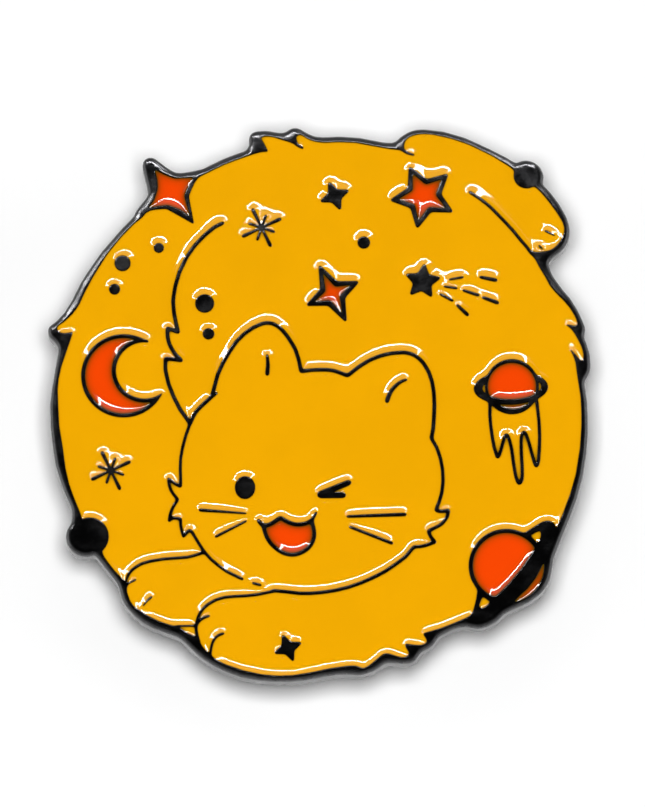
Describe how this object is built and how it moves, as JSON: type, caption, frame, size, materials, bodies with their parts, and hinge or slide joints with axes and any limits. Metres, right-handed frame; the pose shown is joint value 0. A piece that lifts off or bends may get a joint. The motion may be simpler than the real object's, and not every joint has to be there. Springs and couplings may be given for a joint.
{
  "type": "enamel pin",
  "caption": "Soft-enamel lapel pin of a winking cat among stars and planets, yellow and orange in black metal, on posts with sliding butterfly clutches.",
  "frame": {"origin": "on the flat back face of the plate, half way between the two posts, in the middle of the outline", "axes": "+Z out of the artwork, +Y up the artwork, +X to the right as the artwork is read; the posts run along -Z"},
  "size_m": [0.0376, 0.0391, 0.0092],
  "materials": {
    "black_metal": "black plated, semi-gloss",
    "yellow_enamel": "glossy soft enamel",
    "orange_enamel": "glossy soft enamel",
    "cap_nickel": "nickel plated",
    "spring_nickel": "nickel plated spring sheet"
  },
  "bodies": {
    "badge": {"badge_plate": "black_metal", "body_enamel": "yellow_enamel", "head_enamel": "yellow_enamel", "paw_sliver_enamel": "yellow_enamel", "drip_enamel": "yellow_enamel", "small_ring_left_enamel": "yellow_enamel", "small_ring_right_enamel": "yellow_enamel", "large_ring_top_enamel": "yellow_enamel", "large_ring_foot_enamel": "yellow_enamel", "corner_star_enamel": "orange_enamel", "moon_enamel": "orange_enamel", "five_star_enamel": "orange_enamel", "four_star_enamel": "orange_enamel", "small_planet_enamel": "orange_enamel", "small_planet_base_enamel": "orange_enamel", "large_planet_enamel": "orange_enamel", "large_planet_base_enamel": "orange_enamel", "mouth_enamel": "orange_enamel", "left_post": "black_metal", "right_post": "black_metal"},
    "left_cap": {"left_cap": "cap_nickel"},
    "left_spring": {"left_spring_base": "spring_nickel"},
    "left_upper_wing": {"left_wing_a": "spring_nickel"},
    "left_lower_wing": {"left_wing_b": "spring_nickel"},
    "right_cap": {"right_cap": "cap_nickel"},
    "right_spring": {"right_spring_base": "spring_nickel"},
    "right_upper_wing": {"right_wing_a": "spring_nickel"},
    "right_lower_wing": {"right_wing_b": "spring_nickel"}
  },
  "joints": [
    {"name": "left_clutch_slide", "type": "slide", "parent": "badge", "child": "left_cap", "axis": [0, 0, -1], "range_m": [0, 0.009]},
    {"name": "left_clutch_turn", "type": "hinge", "parent": "left_cap", "child": "left_spring", "pos_m": [-0.01, 0, -0.0016], "axis": [0, 0, 1], "continuous": true},
    {"name": "left_squeeze", "type": "hinge", "parent": "left_spring", "child": "left_upper_wing", "pos_m": [-0.01, 0.0026, -0.00203], "axis": [1, 0, 0], "range_deg": [0, 8], "stiffness_Nm_per_rad": 0.008, "springref_deg": -11.46},
    {"name": "left_squeeze_lower", "type": "hinge", "parent": "left_spring", "child": "left_lower_wing", "pos_m": [-0.01, -0.0026, -0.00203], "axis": [-1, 0, 0], "range_deg": [0, 8], "stiffness_Nm_per_rad": 0.008, "springref_deg": -11.46},
    {"name": "right_clutch_slide", "type": "slide", "parent": "badge", "child": "right_cap", "axis": [0, 0, -1], "range_m": [0, 0.009]},
    {"name": "right_clutch_turn", "type": "hinge", "parent": "right_cap", "child": "right_spring", "pos_m": [0.01, 0, -0.0016], "axis": [0, 0, 1], "continuous": true},
    {"name": "right_squeeze", "type": "hinge", "parent": "right_spring", "child": "right_upper_wing", "pos_m": [0.01, 0.0026, -0.00203], "axis": [1, 0, 0], "range_deg": [0, 8], "stiffness_Nm_per_rad": 0.008, "springref_deg": -11.46},
    {"name": "right_squeeze_lower", "type": "hinge", "parent": "right_spring", "child": "right_lower_wing", "pos_m": [0.01, -0.0026, -0.00203], "axis": [-1, 0, 0], "range_deg": [0, 8], "stiffness_Nm_per_rad": 0.008, "springref_deg": -11.46}
  ],
  "couplings": [
    {"joint": "left_squeeze_lower", "follows": "left_squeeze", "ratio": 1},
    {"joint": "right_squeeze_lower", "follows": "right_squeeze", "ratio": 1}
  ]
}
